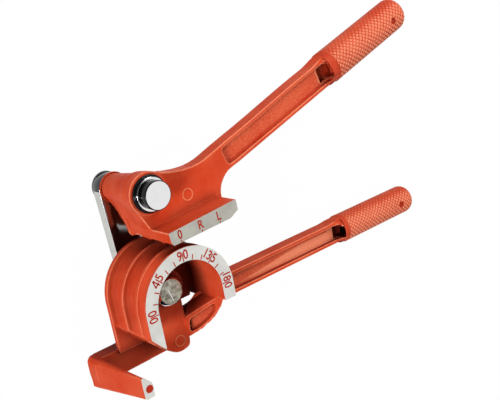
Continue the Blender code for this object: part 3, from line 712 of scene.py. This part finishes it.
turnedPiece("upperPin", [(0.0, capLook["top"]), (capLook["radius"], capLook["top"]),
                         (capLook["radius"], capLook["seat"]),
                         (pinLook["shank"], capLook["seat"])] + pinTail(pinLook),
            upperPinPlace, "link", "upper_pin", [chrome, blackReflectionChrome], capLook["bevel"], capSlot)
turnedPiece("upperCollar", [(collarLook["hole"], collarLook["top"]),
                            (collarLook["step"], collarLook["top"]),
                            (collarLook["step"], collarLook["middle"]),
                            (collarLook["radius"], collarLook["middle"]),
                            (collarLook["radius"], collarLook["base"]),
                            (collarLook["hole"], collarLook["base"])],
            upperPinPlace, "link", "upper_collar", [chrome, blackReflectionChrome], collarLook["bevel"], collarSlot)
turnedPiece("formerPin", [(0.0, headLook["top"]),
                          (headLook["radius"] - headLook["chamfer"], headLook["top"]),
                          (headLook["radius"], headLook["top"] - headLook["chamfer"]),
                          (headLook["radius"], headLook["seat"]),
                          (pinLook["shank"], headLook["seat"])] + pinTail(pinLook),
            Vector(), "former", "former_pin", [platedSteel, chrome], headLook["bevel"], headSlot)

linkLook = {"bevel": 0.22 * mm, "hole": 6.0 * mm, "tighter": 0.10, "upward": 0.75,
            "span": (upperPinPlace.length, upperPinPlace.normalized())}
copyLook = {"flatAngle": math.radians(1.0), "hardAngle": math.radians(50.0), "bevelSteps": 2}


def linkSlot(face):
    # Its broad faces, darker than its edges as a painted dark reflection, its long brushed edges, and its
    # polished round ends in chrome painted dark, a painted dark reflection
    if abs(face.normal.z) > linkLook["upward"]:
        return 0
    length, along = linkLook["span"]
    reach = face.calc_center_median().dot(along)
    return 1 if 0.0 < reach < length else 2


def edgedCopy(name, node, body, looks, width, slotOf, shapeMore):
    # A copy of a flat CAD piece with its sharp edges broken
    bm = bmesh.new()
    bm.from_mesh(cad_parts[node].data)
    bmesh.ops.remove_doubles(bm, verts=bm.verts, dist=mergeGap)
    bmesh.ops.dissolve_limit(bm, angle_limit=copyLook["flatAngle"], verts=bm.verts, edges=bm.edges)
    shapeMore(bm)
    hard = [edge for edge in bm.edges if edge.is_manifold and edge.calc_face_angle() > copyLook["hardAngle"]]
    bmesh.ops.bevel(bm, geom=hard, offset=width, affect="EDGES", segments=copyLook["bevelSteps"], profile=0.5,
                    material=-1)
    bm.normal_update()
    for face in bm.faces:
        face.material_index = slotOf(face)
    made = placeMesh(name, bm, body, looks)
    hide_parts(node)


def tightenLink(bm):
    # The bar's far end is a little smaller than its width
    length, along = linkLook["span"]
    for vert in bm.verts:
        reach = vert.co.dot(along) - length
        if reach > 0.0 and Vector((*(vert.co - along * length).xy, 0.0)).length > linkLook["hole"]:
            vert.co -= along * reach * linkLook["tighter"]


edgedCopy("linkBar", "link", "link", [linkFaceSteel, linkEdgeSteel, darkReflectionChrome], linkLook["bevel"], linkSlot,
          tightenLink)
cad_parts["former_washer"].data.materials[0] = washerSteel
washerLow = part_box("upper_washer")[0].z
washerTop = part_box("upper_washer")[1].z
washerSizes = {"hole": 5.3 * mm, "radius": 7.5 * mm, "bevel": 0.12 * mm}
turnedPiece("upperWasher", [(washerSizes["hole"], washerTop), (washerSizes["radius"], washerTop),
                            (washerSizes["radius"], washerLow), (washerSizes["hole"], washerLow)],
            upperPinPlace, "link", "upper_washer", [castPaint], washerSizes["bevel"], lambda face: 0)
for nodeName in ("former_ring", "upper_ring"):
    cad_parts[nodeName].data.materials[0] = ringSteel
print("steel pieces made")

markLook = {"sink": 0.35 * mm, "figureHeight": 4.5 * mm, "tickWidth": 0.52 * mm,
            "longTick": (17.9 * mm, 22.3 * mm), "shortTick": (17.9 * mm, 20.3 * mm),
            "figureMiddle": 20.95 * mm, "figureGap": 0.42 * mm, "bold": 0.11 * mm, "narrow": 0.84,
            "stroke": 0.62 * mm, "capShare": 0.72, "spacing": 0.92}
# Shares of the figure's height
fourLook = {"strokes": (((0.46, 1.0), (0.46, 0.0)), ((0.0, 0.30), (0.64, 0.30)),
                        ((0.04, 0.30), (0.42, 0.97))), "width": 0.66}


def addTo(target, piece, matrix):
    # Joins one bmesh to another at a place
    bmesh.ops.transform(piece, matrix=matrix, verts=piece.verts)
    mesh = bpy.data.meshes.new("joined")
    piece.to_mesh(mesh)
    piece.free()
    target.from_mesh(mesh)
    bpy.data.meshes.remove(mesh)


def figureFour(height):
    # A four made of three strokes
    bm = bmesh.new()
    for low, high in fourLook["strokes"]:
        start = Vector((*low, 0.0)) * height
        end = Vector((*high, 0.0)) * height
        stroke = bmesh.new()
        bmesh.ops.create_cube(stroke, size=1.0)
        bmesh.ops.scale(stroke, vec=((end - start).length, markLook["stroke"], markLook["sink"]),
                        verts=stroke.verts)
        turn = Matrix.Rotation(math.atan2(end.y - start.y, end.x - start.x), 4, "Z")
        middle = (start + end) / 2 + Vector((0.0, -height / 2, -markLook["sink"] / 2))
        addTo(bm, stroke, Matrix.Translation(middle) @ turn)
    return bm, fourLook["width"] * height


def figureBm(words, height):
    # Plain figures as a flat solid that starts at x = 0, centred in y, with its top at z = 0
    if words == "4":
        return figureFour(height)
    curve = bpy.data.curves.new("figure", "FONT")
    curve.body = words
    curve.size = height / markLook["capShare"]
    curve.extrude = markLook["sink"] / 2
    curve.offset = markLook["bold"]
    curve.space_character = markLook["spacing"]
    holder = bpy.data.objects.new("figure", curve)
    bpy.context.collection.objects.link(holder)
    bm = bmesh.new()
    bm.from_mesh(meshWithModifiers(holder))
    bmesh.ops.remove_doubles(bm, verts=bm.verts, dist=fineGap)
    low = min(vert.co.x for vert in bm.verts)
    high = max(vert.co.x for vert in bm.verts)
    foot = min(vert.co.y for vert in bm.verts)
    grow = height / (max(vert.co.y for vert in bm.verts) - foot)
    bmesh.ops.translate(bm, vec=(-low, -foot, 0.0), verts=bm.verts)
    bmesh.ops.scale(bm, vec=(grow * markLook["narrow"], grow, 1.0), verts=bm.verts)
    bmesh.ops.translate(bm, vec=(0.0, -height / 2, -markLook["sink"] / 2), verts=bm.verts)
    return bm, grow * markLook["narrow"] * (high - low)


def tickBm(low, high, width):
    bm = bmesh.new()
    bmesh.ops.create_cube(bm, size=1.0)
    bmesh.ops.scale(bm, vec=(width, high - low, markLook["sink"]), verts=bm.verts)
    bmesh.ops.translate(bm, vec=(0.0, (low + high) / 2, -markLook["sink"] / 2), verts=bm.verts)
    return bm


def dialMarks():
    bm = bmesh.new()
    faceUp = Matrix.Translation((0.0, 0.0, dialTop))
    figures = {0: ("0", "0"), 45: ("4", "5"), 90: ("9", "0"), 135: ("13", "5"), 180: ("18", "0")}
    for reading in range(0, 181, 15):
        # Reading 0 points to -X, 90 to +Y and 180 to +X, with the figures' tops outward
        turn = faceUp @ Matrix.Rotation(math.radians(90.0 - reading), 4, "Z")
        span = markLook["longTick"] if reading in figures else markLook["shortTick"]
        addTo(bm, tickBm(*span, markLook["tickWidth"]), turn)
        if reading in figures:
            left, right = figures[reading]
            gap, middle = markLook["figureGap"], markLook["figureMiddle"]
            piece, width = figureBm(left, markLook["figureHeight"])
            addTo(bm, piece, turn @ Matrix.Translation((-gap - width, middle, 0.0)))
            piece, width = figureBm(right, markLook["figureHeight"])
            addTo(bm, piece, turn @ Matrix.Translation((gap, middle, 0.0)))
    made = placeMesh("dialMarks", bm, "former", [figurePaint])


shoeMarkLook = {"places": (("0", 2.1 * mm), ("R", 13.9 * mm), ("L", 24.3 * mm)), "height": 4.2 * mm,
                "middle": -18.4 * mm, "tick": (-22.0 * mm, -21.0 * mm)}


def shoeMarks():
    bm = bmesh.new()
    faceUp = handleTurn @ Matrix.Translation((0.0, 0.0, dialTop))
    for words, along in shoeMarkLook["places"]:
        piece, width = figureBm(words, shoeMarkLook["height"])
        addTo(bm, piece, faceUp @ Matrix.Translation((along - width / 2, shoeMarkLook["middle"], 0.0)))
        tick = tickBm(*shoeMarkLook["tick"], markLook["tickWidth"])
        addTo(bm, tick, faceUp @ Matrix.Translation((along, 0.0, 0.0)))
    made = placeMesh("shoeMarks", bm, "forming", [figurePaint])


ringMarkLook = {"radius": 2.7 * mm, "thickness": 0.36 * mm, "around": 12, "steps": 48, "flatten": 0.95}


def ringMark(name, place, body):
    # A thin raised ring on the face of a casting, in lighter paint as a painted highlight
    bm = bmesh.new()
    upright = Matrix.Translation((ringMarkLook["radius"], 0.0, 0.0)) @ Matrix.Rotation(math.pi / 2, 4, "X")
    bmesh.ops.create_circle(bm, segments=ringMarkLook["around"], radius=ringMarkLook["thickness"],
                            matrix=upright)
    bmesh.ops.spin(bm, geom=bm.verts[:] + bm.edges[:], cent=(0.0, 0.0, 0.0), axis=(0.0, 0.0, 1.0),
                   angle=math.tau, steps=ringMarkLook["steps"], use_merge=True)
    bmesh.ops.remove_doubles(bm, verts=bm.verts, dist=fineGap)
    bmesh.ops.scale(bm, vec=(1.0, 1.0, ringMarkLook["flatten"]), verts=bm.verts)
    bmesh.ops.recalc_face_normals(bm, faces=bm.faces)
    bmesh.ops.translate(bm, vec=place, verts=bm.verts)
    made = placeMesh(name, bm, body, [ringHighlightPaint])


tipLook = {"place": (-30.4 * mm, -30.2 * mm), "radius": 2.1 * mm, "topShare": 0.96, "steps": 40,
           "rise": 0.03 * mm, "sink": 0.6 * mm, "rim": 0.4 * mm, "dip": 0.12 * mm}
headLineLook = {"from": (-1.9 * mm, 1.9 * mm), "to": (0.1 * mm, -4.3 * mm), "width": 0.50 * mm,
                "height": 0.6 * mm, "rise": 0.16 * mm, "bevel": 0.08 * mm}


def tipDot():
    # The hook's bare tip has a dimple filled with paint
    bm = bmesh.new()
    bmesh.ops.create_cone(bm, cap_ends=True, segments=tipLook["steps"], radius1=tipLook["radius"],
                          radius2=tipLook["radius"] * tipLook["topShare"], depth=tipLook["sink"])
    top = [face for face in bm.faces if face.normal.z > 0.9]
    bmesh.ops.inset_region(bm, faces=top, thickness=tipLook["rim"], depth=-tipLook["dip"])
    height = dialTop - tipLook["sink"] / 2 - tipLook["rise"]
    bmesh.ops.translate(bm, vec=(*tipLook["place"], height), verts=bm.verts)
    made = placeMesh("tipDot", bm, "former", [figurePaint])


def headLine():
    # A short raised line across the former pin's head
    start, end = Vector((*headLineLook["from"], 0.0)), Vector((*headLineLook["to"], 0.0))
    bm = bmesh.new()
    bmesh.ops.create_cube(bm, size=1.0)
    bmesh.ops.scale(bm, vec=((end - start).length, headLineLook["width"], headLineLook["height"]),
                    verts=bm.verts)
    bmesh.ops.bevel(bm, geom=bm.edges[:], offset=headLineLook["bevel"], affect="EDGES", segments=2,
                    profile=0.5, material=-1)
    spot = (start + end) / 2
    spot.z = headLook["top"] + headLineLook["rise"] - headLineLook["height"] / 2
    turn = Matrix.Rotation(math.atan2(end.y - start.y, end.x - start.x), 4, "Z")
    bmesh.ops.transform(bm, matrix=Matrix.Translation(spot) @ turn, verts=bm.verts)
    made = placeMesh("headLine", bm, "former", [chrome])


dialMarks()
shoeMarks()
tipDot()
headLine()
ringMark("legRing", Vector((1.7 * mm, -27.2 * mm, dialTop - 20.95 * mm)), "former")
ringMark("webRing", handleTurn @ Vector((19.95 * mm, -7.98 * mm, dialTop - 14.15 * mm)), "forming")
print("marks made")

stageLook = {"floor": (0.34, 0.34, 0.34), "roughness": 0.9, "glow": 1.035, "glowShare": 0.95,
             "halfWidth": 3.0, "gap": 0.2 * mm}


def makeFloor():
    # A wide pale floor that the tool lies on. The camera and mirrors see it nearly white.
    made, nodes, links = newMaterial("floor_white")
    shader = nodes["Principled BSDF"]
    shader.inputs["Base Color"].default_value = (*stageLook["floor"], 1.0)
    shader.inputs["Roughness"].default_value = stageLook["roughness"]
    shader.inputs["Specular IOR Level"].default_value = 0.0
    glow = nodes.new("ShaderNodeEmission")
    glow.inputs["Strength"].default_value = stageLook["glow"]
    path = nodes.new("ShaderNodeLightPath")
    seen = mathNode(nodes, "MAXIMUM")
    seenAll = mathNode(nodes, "MAXIMUM")
    share = mathNode(nodes, "MULTIPLY", 0.0, stageLook["glowShare"])
    mix = nodes.new("ShaderNodeMixShader")
    links.new(path.outputs["Is Camera Ray"], seen.inputs[0])
    links.new(path.outputs["Is Glossy Ray"], seen.inputs[1])
    links.new(seen.outputs["Value"], seenAll.inputs[0])
    links.new(path.outputs["Is Transmission Ray"], seenAll.inputs[1])
    links.new(seenAll.outputs["Value"], share.inputs[0])
    links.new(share.outputs["Value"], mix.inputs["Fac"])
    links.new(shader.outputs["BSDF"], mix.inputs[1])
    links.new(glow.outputs["Emission"], mix.inputs[2])
    links.new(mix.outputs["Shader"], nodes["Material Output"].inputs["Surface"])
    bm = bmesh.new()
    bmesh.ops.create_grid(bm, x_segments=1, y_segments=1, size=stageLook["halfWidth"])
    bmesh.ops.translate(bm, vec=(0.0, 0.0, -stageLook["gap"]), verts=bm.verts)
    mesh = bpy.data.meshes.new("floor")
    bm.to_mesh(mesh)
    bm.free()
    mesh.materials.append(made)
    floor = bpy.data.objects.new("floor", mesh)
    bpy.context.collection.objects.link(floor)


lampLook = (
    # name, place, size, watts
    ("keyPanel", (-0.80, -0.06, 0.44), 0.24, 7.5),
    ("highPanel", (0.62, -0.29, 0.86), 1.50, 7.0),
    ("sidePanel", (0.38, 0.72, 0.42), 0.50, 6.0),
)
lampAim = Vector((0.03, 0.02, 0.02))
worldLook = {"low": (0.03, 0.03, 0.035), "high": (0.80, 0.80, 0.82), "strength": 0.16}


def makeLight():
    for name, place, size, watts in lampLook:
        lamp = bpy.data.lights.new(name, "AREA")
        lamp.shape = "SQUARE"
        lamp.size = size
        lamp.energy = watts
        holder = bpy.data.objects.new(name, lamp)
        holder.location = place
        aim = lampAim - Vector(place)
        holder.rotation_euler = aim.to_track_quat("-Z", "Y").to_euler()
        bpy.context.collection.objects.link(holder)
    world = bpy.data.worlds.new("studio")
    world.use_nodes = True
    nodes, links = world.node_tree.nodes, world.node_tree.links
    place = nodes.new("ShaderNodeTexCoord")
    split = nodes.new("ShaderNodeSeparateXYZ")
    rise = rangeNode(nodes, 0.25, 1.0)
    tone = mixColour(nodes, worldLook["low"], worldLook["high"])
    links.new(place.outputs["Generated"], split.inputs["Vector"])
    links.new(split.outputs["Z"], rise.inputs["Value"])
    links.new(rise.outputs["Result"], tone.inputs["Factor"])
    links.new(tone.outputs["Result"], nodes["Background"].inputs["Color"])
    nodes["Background"].inputs["Strength"].default_value = worldLook["strength"]
    bpy.context.scene.world = world


cameraLook = {"lens": 57.6, "sensor": 36.0, "near": 0.01, "place": (-0.17496, 0.13600, 0.28405),
              "turn": ((0.75082, 0.30954, -0.58349), (-0.1741, 0.9449, 0.27723),
                       (0.63715, -0.10656, 0.76334))}


def makeCamera():
    # The photograph's own view, worked out from the dial, the pins and the grips
    camera = bpy.data.cameras.new("camera")
    camera.lens = cameraLook["lens"]
    camera.sensor_width = cameraLook["sensor"]
    camera.clip_start = cameraLook["near"]
    holder = bpy.data.objects.new("camera", camera)
    x, y, z = cameraLook["place"]
    holder.matrix_world = Matrix.Translation((x, y, z + dialTop)) @ Matrix(cameraLook["turn"]).to_4x4()
    bpy.context.collection.objects.link(holder)
    bpy.context.scene.camera = holder


makeFloor()
makeLight()
makeCamera()
bpy.context.scene.view_settings.view_transform = "Standard"
print("stage made")
